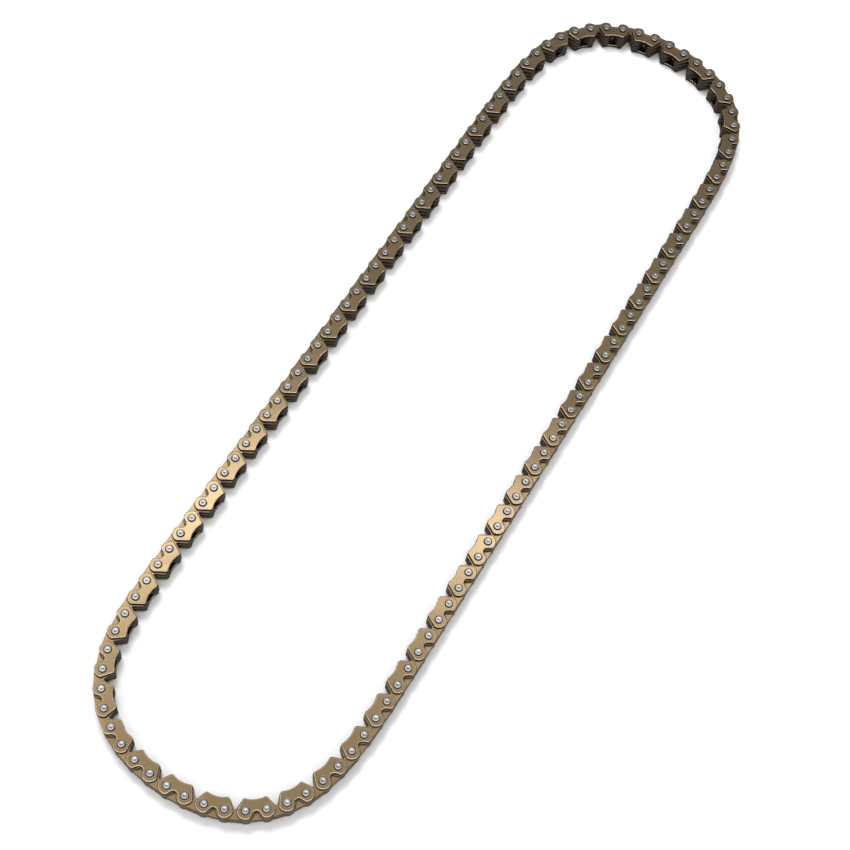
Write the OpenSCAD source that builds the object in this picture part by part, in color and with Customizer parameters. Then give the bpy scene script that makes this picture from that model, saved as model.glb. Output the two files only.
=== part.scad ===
// Endless silent chain for a camshaft drive, lying on its side.
// Toothed plates on two rows of pins mesh like fingers, and plain-backed guide
// plates close both faces. The teeth point into the loop, Z is along the pins,
// and the origin is under the middle of the loop, where the pin ends rest.

/* [Chain] */
// Distance between the centres of two pins next to each other
pitch = 6.35; // [5.2:0.01:8]
// Links in each half of the loop, the whole chain has twice as many
half_links = 61; // [52:1:80]
// Toothed plates side by side in each link that has no guide plates
middle_plates = 3; // [2:1:5]

/* [Shape of the loop] */
// How many pins the first bend is spread over
first_bend_spread = 2.9; // [2:0.1:5]
// Degrees that the first bend turns, the second makes up the half turn
first_bend_turn = 84; // [60:1:120]
// Pins from the first bend of an end to its second
bend_spacing = 10.5; // [8:0.1:16]
// How many pins the second bend is spread over
second_bend_spread = 3.5; // [2:0.1:5]
// How many pins late both bends come, which skews the two ends
bend_shift = 0.15; // [-1:0.05:1]
// Direction of the first link, which lays the long sides along X
first_heading = 0.1; // [-4:0.1:4]

/* [Plates] */
// Thickness of every plate
plate_t = 0.96; // [0.7:0.01:1.5]
// Gap between plates that lie side by side on a pin
side_gap = 0.04; // [0.02:0.01:0.2]
// Gap between the round ends of two plates in one layer
end_gap = 0.95; // [0.3:0.05:1.6]
// How far the tooth flanks cut into the round ends
flank_cut = 0.38; // [0.1:0.02:0.6]
// Slope of the tooth flanks from the line across the chain
flank_angle = 30; // [24:1:34]
// Rounding at the outer corner of each tooth
toe_r = 0.8; // [0.2:0.05:0.9]

/* [Guide plates] */
// Reach of the guide plates from the pin line towards the loop's inside
guide_depth = 3.8; // [3.2:0.05:4.6]
// Depth of the shallow hollow between a guide plate's two toes
guide_hollow = 0.6; // [0.2:0.05:1.2]
// Height of the floor of the back notch over the pin line
notch_floor = 0.3; // [-0.2:0.05:0.5]
// Radius at the floor of the back notch
notch_r = 1.3; // [1.1:0.05:1.5]
// Slope of the notch sides from the line across the chain
notch_lean = 30; // [26:1:36]
// Rounding where the notch sides meet the round ends
shoulder_r = 0.9; // [0.4:0.05:1.4]

/* [Toothed plates] */
// Reach of the teeth from the pin line towards the loop's inside
tooth_depth = 3.7; // [3.2:0.05:4.4]
// How far the flat back lies inside the round ends
back_cut = 0.04; // [0.02:0.02:0.6]
// Distance from the pin line to the top of the crotch between the teeth
crotch_drop = 0.5; // [0.2:0.05:1.2]
// Radius at the top of the crotch
crotch_r = 0.45; // [0.3:0.05:1.1]
// Slope of the inner flanks from the line across the chain
inner_flank_angle = 28; // [8:1:30]
// Rounding at the inner corner of each tooth
tip_r = 0.6; // [0.2:0.05:0.9]

/* [Pins] */
// Diameter of the pins
pin_d = 2.5; // [1.6:0.05:3]
// How far each pin stands out of the guide plates
pin_proud = 0.64; // [0.3:0.02:0.9]
// Rounding around each riveted pin end
pin_edge_r = 0.4; // [0.1:0.02:0.5]
// Diameter of the punch mark in each pin end
punch_d = 1.1; // [0.4:0.05:1.3]
// Depth of the punch mark in each pin end
punch_depth = 0.1; // [0.05:0.01:0.3]
// Radial gap between a pin and the guide plates pressed onto it
press_gap = 0.01; // [0.01:0.01:0.05]
// Radial gap between a pin and the toothed plates that turn on it
run_gap = 0.03; // [0.02:0.01:0.1]

/* [Hidden] */
// Rigid runs that the loop is divided into, an even number
runs = 20;
links = 2 * half_links;
layers = 2 * middle_plates + 1;
layer_step = plate_t + side_gap;
stack_t = layers * plate_t + (layers - 1) * side_gap;
pin_length = stack_t + 2 * pin_proud;
end_r = (pitch - end_gap) / 2;
flank_r = end_r - flank_cut;
back_h = end_r - back_cut;
half_pitch = pitch / 2;
overcut = 1;
// A trim stops this many degrees before its circle touches another one,
// where they lie within a thousandth of a millimetre of each other.
short_of_touch = 1.5;
// How far the hollow's circle bites into the toes' circles, so that they
// cross where they would only touch.
hollow_bite = 0.004;
$fn = 48;

// Links alternate: even ones carry guide plates, odd ones don't.
function has_guides(link) = link % 2 == 0;

// A bend is a bell curve over the pins of half a loop, scaled to its turn.
function bell(pin, centre, spread) = exp(-pow((pin - centre) / spread, 2) / 2);
function bell_sum(centre, spread, pin = 0) =
    pin == half_links ? 0 : bell(pin, centre, spread) + bell_sum(centre, spread, pin + 1);

// The loop starts in the middle of a long side, so an end's two bends lie
// about the middle of its half.
first_bend_at = (half_links - bend_spacing) / 2 + bend_shift;
second_bend_at = first_bend_at + bend_spacing;
first_scale = first_bend_turn / bell_sum(first_bend_at, first_bend_spread);
second_scale = (180 - first_bend_turn) / bell_sum(second_bend_at, second_bend_spread);

// Both halves bend alike, so the loop always closes.
function turn_at(pin) =
    first_scale * bell(pin % half_links, first_bend_at, first_bend_spread)
    + second_scale * bell(pin % half_links, second_bend_at, second_bend_spread);

headings = [
    for (link = 0, h = first_heading; link < links; link = link + 1, h = h + turn_at(link)) h
];

function step_of(link) = pitch * [cos(headings[link]), sin(headings[link])];
function way_to(pin) = pin == 0 ? [0, 0] : way_to(pin - 1) + step_of(pin - 1);

// The pin across the loop is its mirror point through the origin.
first_pin = -way_to(half_links) / 2;
pins_at = [
    for (pin = 0, p = first_pin; pin < links; p = p + step_of(pin), pin = pin + 1) p
];

// The run is the group of links between two neighbouring pivots.
function run_start(run) = floor(run * links / runs);
function links_of(run) = [run_start(run) : run_start(run + 1) - 1];

// A guide link holds the pins at both of its ends.
function pins_of(run) = [
    for (link = links_of(run)) if (has_guides(link)) each [link, (link + 1) % links]
];

function two_digits(n) = str(n < 10 ? "0" : "", n);
function guide_name(run) = str("guide_plates_", two_digits(run + 1));
function toothed_name(run) = str("toothed_plates_", two_digits(run + 1));
function pin_name(run) = str("pins_", two_digits(run + 1));

// Places a link plate's outline: X along the link, Y to the loop's outside.
module at_link(link) {
    middle = pins_at[link] + step_of(link) / 2;
    translate([middle.x, middle.y, 0])
        rotate([0, 0, headings[link] + 180])
            children();
}

module at_layer(layer) {
    translate([0, 0, pin_proud + layer * layer_step])
        linear_extrude(plate_t)
            children();
}

module at_both_pins() {
    for (side = [-1, 1])
        translate([side * half_pitch, 0])
            children();
}

// Half width between the two flanks at height y.
function flank_x(y) = half_pitch + (flank_r + y * sin(flank_angle)) / cos(flank_angle);

// Centre of the rounding of an outer toe whose lowest point is at -depth.
function toe_centre(depth) = [
    flank_x(toe_r - depth) - toe_r / cos(flank_angle),
    toe_r - depth
];

// The space between the flanks, with the toes rounded, down to a foot that
// lies inwards of each toe.
module between_flanks(depth, foot) {
    toe = toe_centre(depth);
    touch = toe + toe_r * [cos(flank_angle), -sin(flank_angle)];
    top = end_r + overcut;
    polygon([
        [flank_x(top), top],
        touch,
        toe,
        foot,
        [-foot.x, foot.y],
        [-toe.x, toe.y],
        [-touch.x, touch.y],
        [-flank_x(top), top]
    ]);
    for (side = [-1, 1])
        translate([side * toe.x, toe.y])
            circle(toe_r);
}

// Round ends about the pins, the web between them and the body below.
module blank(depth, foot, web) {
    intersection() {
        union() {
            at_both_pins() circle(end_r);
            translate([-half_pitch - end_r, -depth - overcut])
                square([pitch + 2 * end_r, depth + overcut]);
            translate([-half_pitch, -overcut])
                square([pitch, overcut + web]);
        }
        between_flanks(depth, foot);
    }
}

module bores(gap) {
    at_both_pins() circle(pin_d / 2 + gap);
}

// The notch sides touch the floor's circle and pass the pins at a distance.
notch_y = notch_floor + notch_r;
notch_normal = [cos(notch_lean), -sin(notch_lean)];
notch_along = [sin(notch_lean), cos(notch_lean)];
notch_pass = notch_normal * [half_pitch, -notch_y] - notch_r;
web_h = notch_pass * sin(notch_lean);

// A round-floored notch in the back, with sides that lean outwards.
module back_notch() {
    start = [0, notch_y] + notch_r * notch_normal;
    end = start + 2 * end_r * notch_along;
    translate([0, notch_y]) circle(notch_r);
    polygon([start, end, [-end.x, end.y], [-start.x, start.y]]);
}

// The shoulder circle touches the notch side and the round end from within,
// and what lies beyond it at their corner is trimmed off.
module shoulder_trim() {
    inset = notch_pass - shoulder_r;
    from_pin = sqrt(pow(end_r - shoulder_r, 2) - inset * inset) * notch_along - inset * notch_normal;
    centre = [half_pitch, 0] + from_pin;
    stop_angle = atan2(from_pin.y, from_pin.x) + short_of_touch;
    start_angle = 180 - notch_lean - short_of_touch;
    to_end = (shoulder_r + overcut) * [cos(stop_angle), sin(stop_angle)];
    to_notch = (shoulder_r + overcut) * [cos(start_angle), sin(start_angle)];
    for (side = [0, 1])
        mirror([side, 0])
            difference() {
                polygon([centre, centre + to_notch, centre + to_notch + to_end, centre + to_end]);
                translate(centre) circle(shoulder_r);
            }
}

// The hollow between the toes is an arc that runs on into their roundings.
guide_toe = toe_centre(guide_depth);
toe_over_hollow = toe_r - guide_hollow;
toe_reach = toe_r - hollow_bite;
hollow_r = (guide_toe.x * guide_toe.x + toe_over_hollow * toe_over_hollow - toe_reach * toe_reach)
    / (2 * (guide_hollow - hollow_bite));
hollow_centre = [0, guide_hollow - guide_depth - hollow_r];

module guide_outline() {
    to_hollow = hollow_centre - guide_toe;
    foot = guide_toe + 2 * toe_r * to_hollow / norm(to_hollow);
    difference() {
        blank(guide_depth, foot, web_h);
        back_notch();
        shoulder_trim();
        translate(hollow_centre) circle(hollow_r, $fn = 96);
        bores(press_gap);
    }
}

// Half width of the crotch at height y, below its round top.
crotch_y = -crotch_drop - crotch_r;
crotch_side = [0, crotch_y] + crotch_r * [cos(inner_flank_angle), sin(inner_flank_angle)];
function inner_flank_x(y) = crotch_side.x + (crotch_side.y - y) * tan(inner_flank_angle);

// The crotch runs down from its round top between the two inner flanks.
module crotch() {
    bottom = -tooth_depth - overcut;
    translate([0, crotch_y]) circle(crotch_r);
    polygon([
        crotch_side,
        [inner_flank_x(bottom), bottom],
        [-inner_flank_x(bottom), bottom],
        [-crotch_side.x, crotch_side.y]
    ]);
}

// The tip circle touches the inner flank and the end of the tooth from
// within, and what lies beyond it at their corner is trimmed off.
module tip_trim() {
    centre_y = tip_r - tooth_depth;
    centre = [inner_flank_x(centre_y) + tip_r / cos(inner_flank_angle), centre_y];
    start_angle = 180 + inner_flank_angle + short_of_touch;
    stop_angle = 270 - short_of_touch;
    to_flank = (tip_r + overcut) * [cos(start_angle), sin(start_angle)];
    to_end = (tip_r + overcut) * [cos(stop_angle), sin(stop_angle)];
    for (side = [0, 1])
        mirror([side, 0])
            difference() {
                polygon([centre, centre + to_flank, centre + to_flank + to_end, centre + to_end]);
                translate(centre) circle(tip_r);
            }
}

module toothed_outline() {
    difference() {
        blank(tooth_depth, [toe_centre(tooth_depth).x, -tooth_depth], back_h);
        translate([-pitch - end_r, back_h])
            square([2 * (pitch + end_r), end_r]);
        crotch();
        tip_trim();
        bores(run_gap);
    }
}

// Half section of a pin: rounded edges and a punch mark at both ends.
module pin_section() {
    r = pin_d / 2;
    punch_r = punch_d / 2;
    ball_r = (punch_r * punch_r + punch_depth * punch_depth) / (2 * punch_depth);
    difference() {
        union() {
            translate([0, pin_edge_r]) square([r, pin_length - 2 * pin_edge_r]);
            square([r - pin_edge_r, pin_length]);
            for (y = [pin_edge_r, pin_length - pin_edge_r])
                translate([r - pin_edge_r, y]) circle(pin_edge_r);
        }
        for (y = [punch_depth - ball_r, pin_length - punch_depth + ball_r])
            translate([0, y]) circle(ball_r, $fn = 96);
        translate([-r - overcut, -overcut]) square([r + overcut, pin_length + 2 * overcut]);
    }
}

// The two outer plates of each guide link in a run.
module guide_plates(run) {
    color("tan")
        for (link = links_of(run))
            if (has_guides(link))
                at_link(link)
                    for (layer = [0, layers - 1])
                        at_layer(layer) guide_outline();
}

// The meshing plates of a run: they fill every second layer of each link.
module toothed_plates(run) {
    color("darkkhaki")
        for (link = links_of(run))
            at_link(link)
                for (layer = has_guides(link) ? [2 : 2 : layers - 3] : [1 : 2 : layers - 2])
                    at_layer(layer) toothed_outline();
}

module pins(run) {
    color("silver")
        for (pin = pins_of(run))
            translate(pins_at[pin])
                rotate_extrude()
                    pin_section();
}

for (run = [0 : runs - 1]) {
    guide_plates(run);
    toothed_plates(run);
    pins(run);
}
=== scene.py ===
import math
import bpy
from mathutils import Matrix, Vector


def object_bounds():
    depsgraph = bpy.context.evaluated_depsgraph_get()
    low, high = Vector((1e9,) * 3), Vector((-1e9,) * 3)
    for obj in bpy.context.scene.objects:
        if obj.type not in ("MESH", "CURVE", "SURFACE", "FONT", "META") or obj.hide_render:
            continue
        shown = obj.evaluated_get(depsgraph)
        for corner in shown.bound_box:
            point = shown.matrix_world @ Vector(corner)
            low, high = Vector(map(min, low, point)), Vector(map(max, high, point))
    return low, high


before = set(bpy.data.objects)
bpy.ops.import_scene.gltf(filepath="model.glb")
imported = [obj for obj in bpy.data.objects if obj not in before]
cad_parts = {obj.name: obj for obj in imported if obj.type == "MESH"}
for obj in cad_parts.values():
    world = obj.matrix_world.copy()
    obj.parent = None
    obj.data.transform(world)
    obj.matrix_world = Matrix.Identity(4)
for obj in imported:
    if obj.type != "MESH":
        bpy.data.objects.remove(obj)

scene = bpy.context.scene
cadLow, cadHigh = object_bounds()
mm = 0.001


cameraSet = {
    "lens": 69.88,                 # mm
    "sensor": 36,                  # mm, the square picture's full width
    "clip": (0.01, 20),            # metres, like the foot and the height
    "foot": (-0.25005, -0.09427),  # the floor point below the lens
    "height": 0.50731,             # lens above the floor
    "heading": 21.65,              # degrees from +X towards +Y, over the floor
    "pitch": 63.87,                # degrees it looks down
    "roll": -10.25,                # degrees about the line of sight
}


def cameraAxes(setup):
    heading, pitch, roll = (math.radians(setup[key]) for key in ("heading", "pitch", "roll"))
    away = Vector((math.cos(heading), math.sin(heading), 0))
    level = Vector((away.y, -away.x, 0))
    ahead = away * math.cos(pitch) - Vector((0, 0, math.sin(pitch)))
    rise = away * math.sin(pitch) + Vector((0, 0, math.cos(pitch)))
    right = level * math.cos(roll) - rise * math.sin(roll)
    up = level * math.sin(roll) + rise * math.cos(roll)
    return right, up, ahead


def placeCamera(setup):
    lens = bpy.data.cameras.new("lens")
    lens.lens = setup["lens"]
    lens.sensor_width = setup["sensor"]
    lens.clip_start, lens.clip_end = setup["clip"]
    camera = bpy.data.objects.new("camera", lens)
    scene.collection.objects.link(camera)
    right, up, ahead = cameraAxes(setup)
    facing = Matrix((right, up, -ahead)).transposed().to_4x4()
    camera.matrix_world = Matrix.Translation((*setup["foot"], setup["height"])) @ facing
    scene.camera = camera


placeCamera(cameraSet)
print("camera placed")


def newNode(tree, kind, **values):
    node = tree.nodes.new(kind)
    for key, value in values.items():
        setattr(node, key, value)
    return node


def feed(tree, socket, value):
    # another node's output is joined, a number or a tuple is set
    if isinstance(value, bpy.types.NodeSocket):
        tree.links.new(value, socket)
    elif socket.type == "RGBA":
        socket.default_value = (*value, 1)
    else:
        socket.default_value = value


def mathNode(tree, operation, first, second=None, clamp=False):
    node = newNode(tree, "ShaderNodeMath", operation=operation, use_clamp=clamp)
    feed(tree, node.inputs[0], first)
    if second is not None:
        feed(tree, node.inputs[1], second)
    return node.outputs[0]


def vectorNode(tree, operation, first, second=None):
    node = newNode(tree, "ShaderNodeVectorMath", operation=operation)
    feed(tree, node.inputs[0], first)
    if second is not None:
        feed(tree, node.inputs["Scale" if operation == "SCALE" else 1], second)
    return node.outputs["Value" if operation in ("DOT_PRODUCT", "LENGTH") else "Vector"]


def mapNode(tree, value, fromLow, fromHigh, toLow=0.0, toHigh=1.0, smooth=False):
    node = newNode(tree, "ShaderNodeMapRange", interpolation_type="SMOOTHSTEP" if smooth else "LINEAR")
    feed(tree, node.inputs["Value"], value)
    feed(tree, node.inputs["From Min"], fromLow)
    feed(tree, node.inputs["From Max"], fromHigh)
    feed(tree, node.inputs["To Min"], toLow)
    feed(tree, node.inputs["To Max"], toHigh)
    return node.outputs["Result"]


# where a mix node keeps its mask, its two inputs and its output
mixSockets = {"FLOAT": (0, 2, 3, 0), "VECTOR": (0, 4, 5, 1), "RGBA": (0, 6, 7, 2)}


def mixNode(tree, kind, mask, first, second):
    node = newNode(tree, "ShaderNodeMix", data_type=kind)
    maskAt, firstAt, secondAt, resultAt = mixSockets[kind]
    feed(tree, node.inputs[maskAt], mask)
    feed(tree, node.inputs[firstAt], first)
    feed(tree, node.inputs[secondAt], second)
    return node.outputs[resultAt]


def mixColour(tree, mask, first, second):
    return mixNode(tree, "RGBA", mask, first, second)


def mixValue(tree, mask, first, second):
    return mixNode(tree, "FLOAT", mask, first, second)


def noiseNode(tree, where, scale, detail, **values):
    node = newNode(tree, "ShaderNodeTexNoise", noise_dimensions="3D")
    feed(tree, node.inputs["Vector"], where)
    feed(tree, node.inputs["Scale"], scale)
    feed(tree, node.inputs["Detail"], detail)
    for key, value in values.items():
        feed(tree, node.inputs[key], value)
    return node.outputs["Fac"]


def splitNode(tree, vector):
    node = newNode(tree, "ShaderNodeSeparateXYZ")
    feed(tree, node.inputs[0], vector)
    return node.outputs


def bumpNode(tree, height, normal, strength, depth):
    node = newNode(tree, "ShaderNodeBump")
    feed(tree, node.inputs["Height"], height)
    feed(tree, node.inputs["Normal"], normal)
    feed(tree, node.inputs["Strength"], strength)
    feed(tree, node.inputs["Distance"], depth)
    return node.outputs[0]


floatSocket, vectorSocket = "NodeSocketFloat", "NodeSocketVector"


def newGroup(name, inputs, outputs):
    tree = bpy.data.node_groups.new(name, "ShaderNodeTree")
    for label, kind, value in inputs:
        socket = tree.interface.new_socket(name=label, in_out="INPUT", socket_type=kind)
        socket.default_value = value
    for label, kind in outputs:
        tree.interface.new_socket(name=label, in_out="OUTPUT", socket_type=kind)
    given = newNode(tree, "NodeGroupInput")
    out = newNode(tree, "NodeGroupOutput")
    return tree, given.outputs, out.inputs


def useGroup(tree, group, values=None):
    node = newNode(tree, "ShaderNodeGroup", node_tree=group)
    for label, value in (values or {}).items():
        feed(tree, node.inputs[label], value)
    return node.outputs


# by how straight up or down the surface faces: 1 lies flat, 0 is a wall
zoneSet = {
    "faceStart": 0.985,
    "faceSoft": 0.05,
    "wallEnd": 0.88,
    "wallSoft": 0.2,
}


def makeZones(setup):
    # tells a stamped piece's flat face, rounded rim and sheared wall apart
    tree, given, out = newGroup(
        "zones",
        [("Face Start", floatSocket, setup["faceStart"]), ("Wall End", floatSocket, setup["wallEnd"])],
        [("Face", floatSocket), ("Rim", floatSocket), ("Wall", floatSocket)])
    geometry = newNode(tree, "ShaderNodeNewGeometry")
    flat = mathNode(tree, "ABSOLUTE", splitNode(tree, geometry.outputs["Normal"])["Z"])
    faceFrom = mathNode(tree, "SUBTRACT", given["Face Start"], setup["faceSoft"])
    face = mapNode(tree, flat, faceFrom, given["Face Start"], smooth=True)
    wallTo = mathNode(tree, "SUBTRACT", given["Wall End"], setup["wallSoft"])
    wall = mapNode(tree, flat, wallTo, given["Wall End"], 1.0, 0.0, smooth=True)
    rest = mathNode(tree, "SUBTRACT", 1.0, face)
    feed(tree, out["Face"], face)
    feed(tree, out["Rim"], mathNode(tree, "SUBTRACT", rest, wall, clamp=True))
    feed(tree, out["Wall"], wall)
    return tree


rollSet = {
    "reach": 0.4 * mm,
    "amount": 0.4,
    "wornAndLit": (0.90, 0.995),  # how well the rolled and the true surface agree: worn and painted rim light, and not at all
    "samples": 6,
}


def makeRolledEdge(setup):
    # the soft roll that blanking leaves round a plate's face, and the rim mask that carries wear and
    # painted light on the rim
    tree, given, out = newGroup(
        "rolledEdge",
        [("Reach", floatSocket, setup["reach"]), ("Amount", floatSocket, setup["amount"]),
         ("Normal", vectorSocket, (0, 0, 0))],
        [("Normal", vectorSocket), ("RimLightAndWear", floatSocket)])
    roll = newNode(tree, "ShaderNodeBevel", samples=setup["samples"])
    feed(tree, roll.inputs["Radius"], given["Reach"])
    geometry = newNode(tree, "ShaderNodeNewGeometry")
    agree = vectorNode(tree, "DOT_PRODUCT", roll.outputs[0], geometry.outputs["Normal"])
    feed(tree, out["RimLightAndWear"], mapNode(tree, agree, *setup["wornAndLit"], 1.0, 0.0, smooth=True))
    between = mixNode(tree, "VECTOR", given["Amount"], given["Normal"], roll.outputs[0])
    feed(tree, out["Normal"], vectorNode(tree, "NORMALIZE", between))
    return tree


toneSet = {
    "lean": 0.01,
    "seed": 0.0,
}


def makePieceTone(setup):
    # gives each loose piece in a mesh its own tone, and leans it a hair so that it glints by itself
    tree, given, out = newGroup(
        "pieceTone",
        [("Lean", floatSocket, setup["lean"]), ("Seed", floatSocket, setup["seed"])],
        [("Tone", floatSocket), ("Second", floatSocket), ("Normal", vectorSocket)])
    geometry = newNode(tree, "ShaderNodeNewGeometry")
    noise = newNode(tree, "ShaderNodeTexWhiteNoise", noise_dimensions="1D")
    seeded = mathNode(tree, "ADD", geometry.outputs["Random Per Island"], given["Seed"])
    feed(tree, noise.inputs["W"], seeded)
    split = newNode(tree, "ShaderNodeSeparateColor")
    feed(tree, split.inputs[0], noise.outputs["Color"])
    centred = vectorNode(tree, "SUBTRACT", noise.outputs["Color"], (0.5, 0.5, 0.5))
    lean = vectorNode(tree, "SCALE", centred, given["Lean"])
    leaning = vectorNode(tree, "ADD", geometry.outputs["Normal"], lean)
    feed(tree, out["Tone"], noise.outputs["Value"])
    feed(tree, out["Second"], split.outputs["Green"])
    feed(tree, out["Normal"], vectorNode(tree, "NORMALIZE", leaning))
    return tree


tumbledSet = {
    "grain": 5000.0,
    "grainDetail": 4,
    "grainRough": 0.62,
    "grainHeight": 0.35,
    "grainMask": (0.3, 0.7),
    "scuff": 5600.0,
    "scuffDetail": 3,
    "scuffAlong": 0.06,         # the pattern's scale along a scuff, against 1 across it
    "scuffTurns": (0.6, 2.2),   # radians
    "scuffMask": (0.62, 0.74),
    "scuffHeight": -0.12,
    "wave": 260.0,
    "waveDetail": 2,
}


def makeTumbled(setup):
    # the fine peened and scuffed skin that tumbling in a barrel leaves on hardened steel
    tree, given, out = newGroup(
        "tumbled",
        [("Grain", floatSocket, setup["grain"]), ("Scuff", floatSocket, setup["scuff"]),
         ("Wave", floatSocket, setup["wave"])],
        [("Mask", floatSocket), ("Height", floatSocket), ("Scuffs", floatSocket)])
    where = newNode(tree, "ShaderNodeTexCoord").outputs["Object"]
    grain = noiseNode(tree, where, given["Grain"], setup["grainDetail"], Roughness=setup["grainRough"])
    wave = noiseNode(tree, where, given["Wave"], setup["waveDetail"])
    # short scuffs that run every way: two stretched layers, turned against each other
    layers = []
    for turn in setup["scuffTurns"]:
        turned = newNode(tree, "ShaderNodeMapping")
        feed(tree, turned.inputs["Vector"], where)
        feed(tree, turned.inputs["Rotation"], (0, 0, turn))
        feed(tree, turned.inputs["Scale"], (1, setup["scuffAlong"], 1))
        streak = noiseNode(tree, turned.outputs[0], given["Scuff"], setup["scuffDetail"])
        layers.append(mapNode(tree, streak, *setup["scuffMask"]))
    scuffs = mathNode(tree, "MAXIMUM", *layers)
    fine = mathNode(tree, "MULTIPLY", grain, setup["grainHeight"])
    scored = mathNode(tree, "MULTIPLY", scuffs, setup["scuffHeight"])
    height = mathNode(tree, "ADD", mathNode(tree, "ADD", fine, wave), scored)
    feed(tree, out["Mask"], mapNode(tree, grain, *setup["grainMask"]))
    feed(tree, out["Height"], height)
    feed(tree, out["Scuffs"], scuffs)
    return tree


# openness of a spot: 1 stands free, 0 is shut in
creviceSet = {
    "reach": 0.7 * mm,
    "cover": 1.0,
    "open": 0.95,
    "soft": 0.4,
    "clear": (0.82, 0.97),
    "samples": 6,
}


def makeCrevice(setup):
    # painted shade with old oil and grime where two pieces meet, and the places that are clear of all
    # others
    tree, given, out = newGroup(
        "crevice",
        [("Reach", floatSocket, setup["reach"]), ("Cover", floatSocket, setup["cover"]),
         ("Open", floatSocket, setup["open"])],
        [("Mask", floatSocket), ("Clear", floatSocket)])
    shade = newNode(tree, "ShaderNodeAmbientOcclusion", samples=setup["samples"])
    feed(tree, shade.inputs["Distance"], given["Reach"])
    shut = mathNode(tree, "SUBTRACT", given["Open"], setup["soft"])
    hidden = mapNode(tree, shade.outputs["AO"], shut, given["Open"], 1.0, 0.0)
    feed(tree, out["Mask"], mathNode(tree, "MULTIPLY", hidden, given["Cover"], clamp=True))
    feed(tree, out["Clear"], mapNode(tree, shade.outputs["AO"], *setup["clear"], smooth=True))
    return tree


filmSet = {
    "scale": 320.0,
    "cover": 0.5,
    "soft": 0.14,
    "detail": 3,
    "distortion": 0.6,
}


def makeFilm(setup):
    # the uneven film of preserving oil: broad soft patches
    tree, given, out = newGroup(
        "oilFilm",
        [("Scale", floatSocket, setup["scale"]), ("Cover", floatSocket, setup["cover"])],
        [("Mask", floatSocket)])
    where = newNode(tree, "ShaderNodeTexCoord").outputs["Object"]
    cloud = noiseNode(tree, where, given["Scale"], setup["detail"], Distortion=setup["distortion"])
    edge = mathNode(tree, "SUBTRACT", 1.0, given["Cover"])
    low = mathNode(tree, "SUBTRACT", edge, setup["soft"])
    high = mathNode(tree, "ADD", edge, setup["soft"])
    feed(tree, out["Mask"], mapNode(tree, cloud, low, high, smooth=True))
    return tree


# by how straight out of the loop the surface faces: 1 is a plate's back, 0 its end
outerSet = {
    "halfLength": (cadHigh[0] - cadLow[0] - cadHigh[1] + cadLow[1]) / 2,  # of the loop's straight middle
    "start": 0.5,
    "soft": 0.3,
    "end": (0.15, 0.40),
}


def makeOuterSide(setup):
    # gives the loop's outer side a painted light, paler on the plates' backs, and a pale painted sheen on
    # their shaved ends
    tree, given, out = newGroup(
        "outerSide",
        [("Half Length", floatSocket, setup["halfLength"]), ("Start", floatSocket, setup["start"])],
        [("Back", floatSocket), ("End", floatSocket)])
    place = splitNode(tree, newNode(tree, "ShaderNodeTexCoord").outputs["Object"])
    # the nearest point of the loop's middle line, and the way out from it
    leftEnd = mathNode(tree, "MULTIPLY", given["Half Length"], -1.0)
    middle = mathNode(tree, "MINIMUM", place["X"], given["Half Length"])
    middle = mathNode(tree, "MAXIMUM", middle, leftEnd)
    away = newNode(tree, "ShaderNodeCombineXYZ")
    feed(tree, away.inputs["X"], mathNode(tree, "SUBTRACT", place["X"], middle))
    feed(tree, away.inputs["Y"], place["Y"])
    outward = vectorNode(tree, "NORMALIZE", away.outputs[0])
    own = newNode(tree, "ShaderNodeVectorTransform", vector_type="NORMAL",
                  convert_from="WORLD", convert_to="OBJECT")
    feed(tree, own.inputs[0], newNode(tree, "ShaderNodeNewGeometry").outputs["Normal"])
    agree = vectorNode(tree, "DOT_PRODUCT", own.outputs[0], outward)
    full = mathNode(tree, "ADD", given["Start"], setup["soft"])
    feed(tree, out["Back"], mapNode(tree, agree, given["Start"], full, smooth=True))
    aslant = mathNode(tree, "ABSOLUTE", agree)
    feed(tree, out["End"], mapNode(tree, aslant, *setup["end"], 1.0, 0.0, smooth=True))
    return tree


zones = makeZones(zoneSet)
rolledEdge = makeRolledEdge(rollSet)
pieceTone = makePieceTone(toneSet)
tumbled = makeTumbled(tumbledSet)
crevice = makeCrevice(creviceSet)
oilFilm = makeFilm(filmSet)
outerSide = makeOuterSide(outerSet)
print("shared effects built")


def newMaterial(name):
    material = bpy.data.materials.new(name)
    material.use_nodes = True
    tree = material.node_tree
    tree.nodes.clear()
    shader = newNode(tree, "ShaderNodeBsdfPrincipled")
    output = newNode(tree, "ShaderNodeOutputMaterial")
    feed(tree, output.inputs["Surface"], shader.outputs[0])
    return material, tree, shader.inputs


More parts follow.
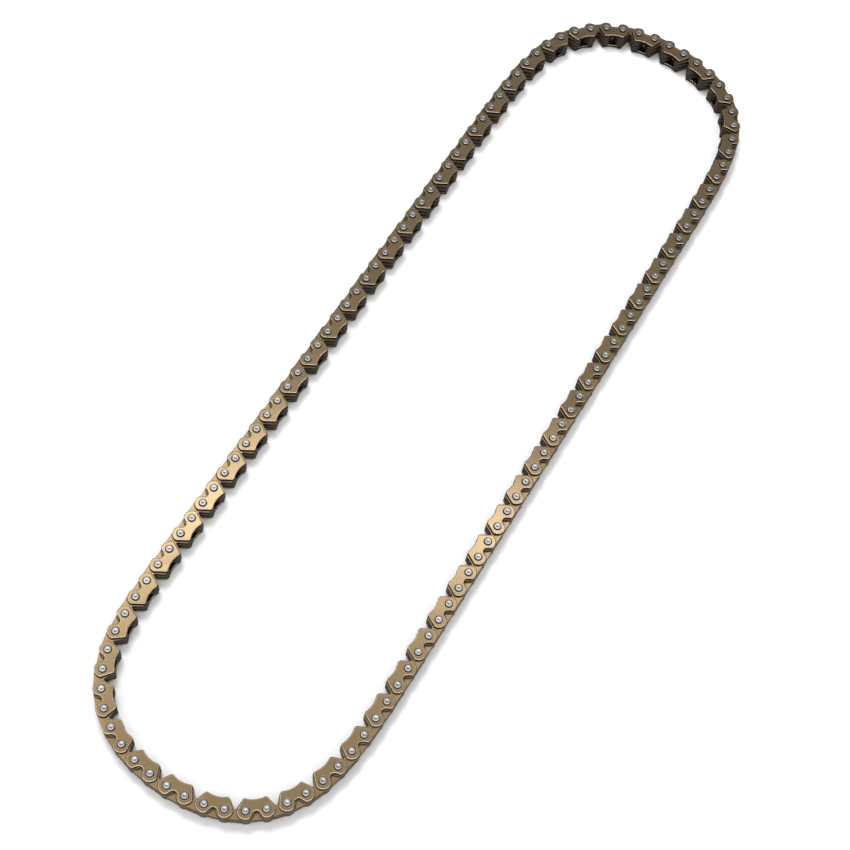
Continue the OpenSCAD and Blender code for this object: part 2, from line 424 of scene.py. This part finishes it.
# what the two kinds of stamped plate share
stampedSet = {
    "filmScale": 300.0,
    "filmCover": 0.45,
    "filmTint": 0.35,
    "scuffTint": 0.16,
    "streakScale": 6500.0,
    "streakDetail": 3,
    "streakAlong": 0.08,          # the pattern's scale along a streak, against 1 across it
    "streakMask": (0.35, 0.65),
    "wallTint": 0.4,
    "wallRough": (0.75, 0.55),
    "wallMetal": 0.15,
    "backCover": 0.8,
    "lineOpen": 0.93,
    "rimPaintLeast": 0.7,
    "shadeAndGrimeRough": 0.7,
    "shadeAndGrimeMetal": 0.1,
    "bumpDepth": 0.02 * mm,
    "coatIor": 1.65,
    "gloss": 0.06,                # only the dull walls and the grime have this part of the shine
}
guideSteel = {
    "face": (0.355, 0.240, 0.110),
    "faceDark": (0.315, 0.207, 0.091),
    "faceRough": (0.10, 0.16),
    # rim: a pale painted highlight along the rims, over real edge wear
    "rim": (0.80, 0.695, 0.53),
    "wall": (0.024, 0.017, 0.015),
    "wallDark": (0.008, 0.006, 0.006),
    # back: painted light on the loop's outer side
    "back": (0.10, 0.080, 0.064),
    # painted shade and grime in the gaps and along each plate's foot
    "shadeAndGrime": (0.030, 0.020, 0.016),
    "shadeReach": 0.5 * mm,
    "shadeCover": 0.5,
    "shadeOpen": 0.78,
    "lineReach": 0.25 * mm,
    "lineCover": 0.4,
    "lean": 0.020,
    "coat": 0.9,
    "coatRough": 0.13,
    "bump": 0.07,
    "roll": 0.55 * mm,
    "rollAmount": 0.42,
}
toothedSteel = {
    "face": (0.350, 0.236, 0.108),
    "faceDark": (0.305, 0.200, 0.089),
    "faceRough": (0.14, 0.22),
    # rim: painted shade darkens the rims, and it is also the colour of the scuffs
    "rim": (0.10, 0.082, 0.064),
    "wall": (0.088, 0.077, 0.071),
    "wallDark": (0.028, 0.025, 0.023),
    # back: painted light on the loop's outer side
    "back": (0.17, 0.145, 0.115),
    # end: a pale painted sheen on the shaved ends
    "end": (0.62, 0.585, 0.55),
    "endCover": 0.8,
    # painted shade and grime in the gaps and along each plate's foot
    "shadeAndGrime": (0.046, 0.038, 0.034),
    "shadeReach": 1.6 * mm,
    "shadeCover": 1.0,
    "shadeOpen": 0.64,
    "lineReach": 0.40 * mm,
    "lineCover": 0.95,
    "lean": 0.03,
    "coat": 0.8,
    "coatRough": 0.15,
    "bump": 0.08,
    "roll": 0.5 * mm,
    "rollAmount": 0.3,
}


def faceColour(tree, look, tone, skin):
    film = useGroup(tree, oilFilm, {"Scale": stampedSet["filmScale"], "Cover": stampedSet["filmCover"]})
    filmed = mathNode(tree, "MULTIPLY", film["Mask"], stampedSet["filmTint"])
    scuffed = mathNode(tree, "MULTIPLY", skin["Scuffs"], stampedSet["scuffTint"])
    colour = mixColour(tree, tone["Tone"], look["face"], look["faceDark"])
    colour = mixColour(tree, filmed, colour, look["faceDark"])
    return mixColour(tree, scuffed, colour, look["rim"])


def shearStreaks(tree):
    # fine streaks that run through the plate's thickness
    drawn = newNode(tree, "ShaderNodeMapping")
    feed(tree, drawn.inputs["Vector"], newNode(tree, "ShaderNodeTexCoord").outputs["Object"])
    feed(tree, drawn.inputs["Scale"], (1, 1, stampedSet["streakAlong"]))
    return noiseNode(tree, drawn.outputs[0], stampedSet["streakScale"], stampedSet["streakDetail"])


def wallColour(tree, look, tone, shear):
    outerLight = useGroup(tree, outerSide)
    darker = mathNode(tree, "MULTIPLY", tone["Second"], stampedSet["wallTint"])
    back = mathNode(tree, "MULTIPLY", outerLight["Back"], stampedSet["backCover"])
    colour = mixColour(tree, shear, look["wallDark"], look["wall"])
    colour = mixColour(tree, darker, colour, look["wallDark"])
    # painted light: paler backs on the loop's outer side
    colour = mixColour(tree, back, colour, look["back"])
    # a painted sheen on the shaved ends
    if "end" in look:
        end = mathNode(tree, "MULTIPLY", outerLight["End"], look["endCover"])
        colour = mixColour(tree, end, colour, look["end"])
    return colour


def stampedSteel(name, look):
    material, tree, shader = newMaterial(name)
    zone = useGroup(tree, zones)
    tone = useGroup(tree, pieceTone, {"Lean": look["lean"]})
    skin = useGroup(tree, tumbled)
    # painted shade with some grime fills the deep gaps, and a fine line of painted contact shadow lies
    # along each plate's foot
    gapShadeAndGrime = useGroup(tree, crevice, {
        "Reach": look["shadeReach"], "Cover": look["shadeCover"], "Open": look["shadeOpen"]})
    line = useGroup(tree, crevice, {
        "Reach": look["lineReach"], "Cover": look["lineCover"], "Open": stampedSet["lineOpen"]})
    shadeAndGrime = mathNode(tree, "MAXIMUM", gapShadeAndGrime["Mask"], line["Mask"])

    # the roll and the rim's wear and painted light stay off the walls and off the plate beside a pin's
    # head
    flatParts = mathNode(tree, "SUBTRACT", 1.0, zone["Wall"])
    flatParts = mathNode(tree, "MULTIPLY", flatParts, gapShadeAndGrime["Clear"])
    rollAmount = mathNode(tree, "MULTIPLY", flatParts, look["rollAmount"])
    rolled = useGroup(tree, rolledEdge, {
        "Reach": look["roll"], "Amount": rollAmount, "Normal": tone["Normal"]})
    rimWearAndLight = mathNode(tree, "MAXIMUM", zone["Rim"], rolled["RimLightAndWear"])
    rimWearAndLight = mathNode(tree, "SUBTRACT", rimWearAndLight, zone["Wall"], clamp=True)
    rimWearAndLight = mathNode(tree, "MULTIPLY", rimWearAndLight, gapShadeAndGrime["Clear"])
    patchy = mapNode(tree, skin["Mask"], 0.0, 1.0, stampedSet["rimPaintLeast"], 1.0)

    streak = shearStreaks(tree)
    shear = mapNode(tree, streak, *stampedSet["streakMask"])
    face = faceColour(tree, look, tone, skin)
    wall = wallColour(tree, look, tone, shear)
    colour = mixColour(tree, zone["Wall"], face, wall)
    # the rims take the rim colour: a painted highlight on the guide plates, painted shade on the toothed
    # plates, over real wear
    colour = mixColour(tree, mathNode(tree, "MULTIPLY", rimWearAndLight, patchy), colour, look["rim"])
    # painted shade and grime darken the gaps and contacts
    feed(tree, shader["Base Color"], mixColour(tree, shadeAndGrime, colour, look["shadeAndGrime"]))

    rough = mapNode(tree, skin["Mask"], 0.0, 1.0, *look["faceRough"])
    wallRough = mapNode(tree, shear, 0.0, 1.0, *stampedSet["wallRough"])
    rough = mixValue(tree, zone["Wall"], rough, wallRough)
    feed(tree, shader["Roughness"], mixValue(tree, shadeAndGrime, rough, stampedSet["shadeAndGrimeRough"]))
    metal = mixValue(tree, zone["Wall"], 1.0, stampedSet["wallMetal"])
    feed(tree, shader["Metallic"], mixValue(tree, shadeAndGrime, metal, stampedSet["shadeAndGrimeMetal"]))
    height = mixValue(tree, zone["Wall"], skin["Height"], streak)
    normal = bumpNode(tree, height, rolled["Normal"], look["bump"], stampedSet["bumpDepth"])
    feed(tree, shader["Normal"], normal)

    # the oil lies on the faces, the sheared walls stay dry
    clean = mathNode(tree, "SUBTRACT", zone["Face"], shadeAndGrime, clamp=True)
    feed(tree, shader["Coat Weight"], mathNode(tree, "MULTIPLY", clean, look["coat"]))
    feed(tree, shader["Coat Roughness"], look["coatRough"])
    feed(tree, shader["Coat IOR"], stampedSet["coatIor"])
    feed(tree, shader["Specular IOR Level"], stampedSet["gloss"])
    return material


pinSteel = {
    "bright": (0.49, 0.485, 0.485),
    "dull": (0.33, 0.325, 0.325),
    "rough": (0.11, 0.21),
    "toneTint": 0.5,
    "filmScale": 900.0,
    "filmCover": 0.4,
    "filmTint": 0.5,
    # side: the pin's side and steep edge painted near black, as shade
    "side": (0.014, 0.011, 0.010),
    "sideEnd": 0.60,
    "sideRough": 0.6,
    "sideMetal": 0.3,
    # painted shade and grime where the pin meets the plate
    "shadeAndGrime": (0.020, 0.016, 0.015),
    "shadeReach": 0.4 * mm,
    "shadeCover": 0.8,
    "shadeOpen": 0.72,
    "shadeAndGrimeRough": 0.65,
    "lean": 0.06,
    "seed": 3.0,
    "grain": 3600.0,
    "scuff": 4400.0,
    "wave": 900.0,
    "bump": 0.16,
    "bumpDepth": 0.03 * mm,
    "gloss": 0.1,
}


def rivetSteel(name, look):
    material, tree, shader = newMaterial(name)
    tone = useGroup(tree, pieceTone, {"Lean": look["lean"], "Seed": look["seed"]})
    skin = useGroup(tree, tumbled, {"Grain": look["grain"], "Scuff": look["scuff"], "Wave": look["wave"]})
    gapShadeAndGrime = useGroup(tree, crevice, {
        "Reach": look["shadeReach"], "Cover": look["shadeCover"], "Open": look["shadeOpen"]})
    film = useGroup(tree, oilFilm, {"Scale": look["filmScale"], "Cover": look["filmCover"]})
    # only the riveted end is bright: the side and the steep part of the edge are painted near black, as
    # shade
    zone = useGroup(tree, zones, {"Wall End": look["sideEnd"]})

    duller = mathNode(tree, "MULTIPLY", tone["Tone"], look["toneTint"])
    filmed = mathNode(tree, "MULTIPLY", film["Mask"], look["filmTint"])
    colour = mixColour(tree, duller, look["bright"], look["dull"])
    colour = mixColour(tree, filmed, colour, look["dull"])
    colour = mixColour(tree, zone["Wall"], colour, look["side"])
    # painted shade and grime where the pin meets the plate
    feed(tree, shader["Base Color"], mixColour(tree, gapShadeAndGrime["Mask"], colour, look["shadeAndGrime"]))

    rough = mapNode(tree, skin["Mask"], 0.0, 1.0, *look["rough"])
    rough = mixValue(tree, zone["Wall"], rough, look["sideRough"])
    feed(tree, shader["Roughness"], mixValue(tree, gapShadeAndGrime["Mask"], rough, look["shadeAndGrimeRough"]))
    feed(tree, shader["Metallic"], mixValue(tree, zone["Wall"], 1.0, look["sideMetal"]))
    feed(tree, shader["Specular IOR Level"], look["gloss"])
    normal = bumpNode(tree, skin["Height"], tone["Normal"], look["bump"], look["bumpDepth"])
    feed(tree, shader["Normal"], normal)
    return material


finishes = {
    "guide_plates": stampedSteel("guideSteel", guideSteel),
    "toothed_plates": stampedSteel("toothedSteel", toothedSteel),
    "pins": rivetSteel("pinSteel", pinSteel),
}
print("materials built:", ", ".join(finish.name for finish in finishes.values()))


# the plates' tumbled edges; the toothed plates have shorter facets, which a wider one would turn over
edgeSet = {
    "width": {"guide_plates": 0.17 * mm, "toothed_plates": 0.06 * mm},
    "segments": 3,
    "sharp": math.radians(40),
    "flat": 0.002,              # radians, below which facets become one
    "weld": 0.002 * mm,
}


def tumbleEdges(piece, width, setup):
    weld = piece.modifiers.new("weld", "WELD")
    weld.merge_threshold = setup["weld"]
    plain = piece.modifiers.new("plain", "DECIMATE")
    plain.decimate_type = "DISSOLVE"
    plain.angle_limit = setup["flat"]
    bevel = piece.modifiers.new("tumbled", "BEVEL")
    bevel.width = width
    bevel.segments = setup["segments"]
    bevel.limit_method = "ANGLE"
    bevel.angle_limit = setup["sharp"]
    bevel.use_clamp_overlap = False
    bevel.harden_normals = True


for nodeName, piece in sorted(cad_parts.items()):
    kind = nodeName.rsplit("_", 1)[0]
    for slot in piece.material_slots:
        slot.material = finishes[kind]
    if kind in edgeSet["width"]:
        tumbleEdges(piece, edgeSet["width"][kind], edgeSet)
print("pieces finished:", len(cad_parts))


# the sheet glows a little, and more far out, where the lamp doesn't reach
floorSet = {
    "size": 6.0,
    "albedo": 0.90,
    "glow": 0.05,
    "farGlow": 0.40,
    "near": 0.35,   # metres from the chain's middle, where the glow starts to rise
    "away": 1.6,    # and where it has risen
}


def whiteSheet(setup):
    material = bpy.data.materials.new("whiteSheet")
    material.use_nodes = True
    tree = material.node_tree
    tree.nodes.clear()
    paper = newNode(tree, "ShaderNodeBsdfDiffuse")
    feed(tree, paper.inputs["Color"], (setup["albedo"],) * 3)
    path = newNode(tree, "ShaderNodeLightPath").outputs
    seen = mathNode(tree, "MAXIMUM", path["Is Camera Ray"], path["Is Glossy Ray"])
    seen = mathNode(tree, "MAXIMUM", seen, path["Is Transmission Ray"])
    far = vectorNode(tree, "LENGTH", newNode(tree, "ShaderNodeTexCoord").outputs["Object"])
    rise = mapNode(tree, far, setup["near"], setup["away"], setup["glow"], setup["farGlow"])
    glow = newNode(tree, "ShaderNodeEmission")
    feed(tree, glow.inputs["Color"], (1, 1, 1))
    feed(tree, glow.inputs["Strength"], mathNode(tree, "MULTIPLY", seen, rise))
    both = newNode(tree, "ShaderNodeAddShader")
    feed(tree, both.inputs[0], paper.outputs[0])
    feed(tree, both.inputs[1], glow.outputs[0])
    output = newNode(tree, "ShaderNodeOutputMaterial")
    feed(tree, output.inputs["Surface"], both.outputs[0])
    return material


def makeFloor(setup):
    half = setup["size"] / 2
    corners = [(-half, -half, 0), (half, -half, 0), (half, half, 0), (-half, half, 0)]
    sheet = bpy.data.meshes.new("floor")
    sheet.from_pydata(corners, [], [(0, 1, 2, 3)])
    sheet.materials.append(whiteSheet(setup))
    floor = bpy.data.objects.new("floor", sheet)
    scene.collection.objects.link(floor)
    return floor


makeFloor(floorSet)
print("floor laid")


domeSet = {
    # brightness by the sine of the height over the horizon: a broad box overhead with a bright rim
    "high": [(0.74, 0.36), (0.80, 0.43), (0.86, 0.47), (0.893, 0.52), (0.904, 0.85), (0.911, 3.50),
             (0.926, 3.70), (0.933, 1.10), (0.950, 0.80), (1.0, 0.50)],
    "highSpan": (0.7, 1.0),
    # the rim's middle, and how much broader it is towards the left
    "rim": {"height": 0.919, "spread": 1.4},
    # brightness lower down, from the camera's side to the far side
    "low": [(-0.3, 0.32), (0.2, 0.28)],
    "lowSpan": (-1.0, 1.0),
    "blend": (0.66, 0.78),
    # a big box hangs overhead on the camera's side: where it fades to the far side and down
    "box": {"far": (0.02, 0.11), "low": (0.76, 0.85), "level": 2.4},
    # the white backdrop shows in metal and glass up to this height
    "backdrop": (0.03, 0.10),
    "peak": 4.0,
}


def levelRamp(tree, value, table, span, peak):
    low, high = span
    ramp = newNode(tree, "ShaderNodeValToRGB")
    stops = ramp.color_ramp.elements
    while len(stops) < len(table):
        stops.new(0.5)
    for stop, (place, level) in zip(stops, table):
        stop.position = (place - low) / (high - low)
        stop.color = (level / peak, level / peak, level / peak, 1)
    feed(tree, ramp.inputs[0], mapNode(tree, value, low, high))
    return ramp.outputs["Color"]


def domeColour(tree, setup, where, height):
    heading = math.radians(cameraSet["heading"])
    toFarSide = vectorNode(tree, "DOT_PRODUCT", where, (math.cos(heading), math.sin(heading), 0))
    toLeft = vectorNode(tree, "DOT_PRODUCT", where, (-math.sin(heading), math.cos(heading), 0))
    rim, box, peak = setup["rim"], setup["box"], setup["peak"]
    spread = mathNode(tree, "MULTIPLY", toLeft, rim["spread"])
    spread = mathNode(tree, "ADD", spread, 1.0)
    fromRim = mathNode(tree, "SUBTRACT", height, rim["height"])
    fromRim = mathNode(tree, "DIVIDE", fromRim, spread)
    onRamp = mathNode(tree, "ADD", fromRim, rim["height"])
    high = levelRamp(tree, onRamp, setup["high"], setup["highSpan"], peak)
    low = levelRamp(tree, toFarSide, setup["low"], setup["lowSpan"], peak)
    colour = mixColour(tree, mapNode(tree, height, *setup["blend"], smooth=True), low, high)
    nearSide = mapNode(tree, toFarSide, *box["far"], 1.0, 0.0, smooth=True)
    above = mapNode(tree, height, *box["low"], smooth=True)
    inBox = mathNode(tree, "MULTIPLY", nearSide, above)
    return mixColour(tree, inBox, colour, (box["level"] / peak,) * 3)


def makeDome(setup):
    world = bpy.data.worlds.new("studio")
    scene.world = world
    world.use_nodes = True
    tree = world.node_tree
    tree.nodes.clear()
    where = newNode(tree, "ShaderNodeTexCoord").outputs["Generated"]
    height = splitNode(tree, where)["Z"]
    studio = newNode(tree, "ShaderNodeBackground")
    feed(tree, studio.inputs["Color"], domeColour(tree, setup, where, height))
    feed(tree, studio.inputs["Strength"], setup["peak"])
    white = newNode(tree, "ShaderNodeBackground")
    feed(tree, white.inputs["Color"], (1, 1, 1))
    path = newNode(tree, "ShaderNodeLightPath").outputs
    mirrored = mathNode(tree, "MAXIMUM", path["Is Glossy Ray"], path["Is Transmission Ray"])
    backdrop = mapNode(tree, height, *setup["backdrop"], 1.0, 0.0, smooth=True)
    inMetal = mathNode(tree, "MULTIPLY", mirrored, backdrop)
    mix = newNode(tree, "ShaderNodeMixShader")
    feed(tree, mix.inputs[0], mathNode(tree, "MAXIMUM", path["Is Camera Ray"], inMetal))
    feed(tree, mix.inputs[1], studio.outputs[0])
    feed(tree, mix.inputs[2], white.outputs[0])
    output = newNode(tree, "ShaderNodeOutputWorld")
    feed(tree, output.inputs["Surface"], mix.outputs[0])


makeDome(domeSet)


keySet = {
    "over": (0, 0, 0),      # the point it faces
    "way": (58.0, 71.0),    # degrees from +X over the floor, and up
    "far": 1.6,             # metres from that point, like the size
    "size": (0.42, 0.42),
    "level": 21.0,          # its own brightness, where white is 1
}


def makeLamp(name, setup):
    turn, rise = (math.radians(value) for value in setup["way"])
    way = Vector((math.cos(turn) * math.cos(rise), math.sin(turn) * math.cos(rise), math.sin(rise)))
    across = Vector((way.y, -way.x, 0)).normalized()
    light = bpy.data.lights.new(name, "AREA")
    light.shape = "RECTANGLE"
    light.size, light.size_y = setup["size"]
    light.energy = setup["level"] * math.pi * light.size * light.size_y
    lamp = bpy.data.objects.new(name, light)
    scene.collection.objects.link(lamp)
    lamp.visible_glossy = False  # the steel mirrors the dome alone
    facing = Matrix((across, way.cross(across), way)).transposed().to_4x4()
    lamp.matrix_world = Matrix.Translation(Vector(setup["over"]) + way * setup["far"]) @ facing


makeLamp("key", keySet)
scene.view_settings.view_transform = "Standard"
print("lights set")
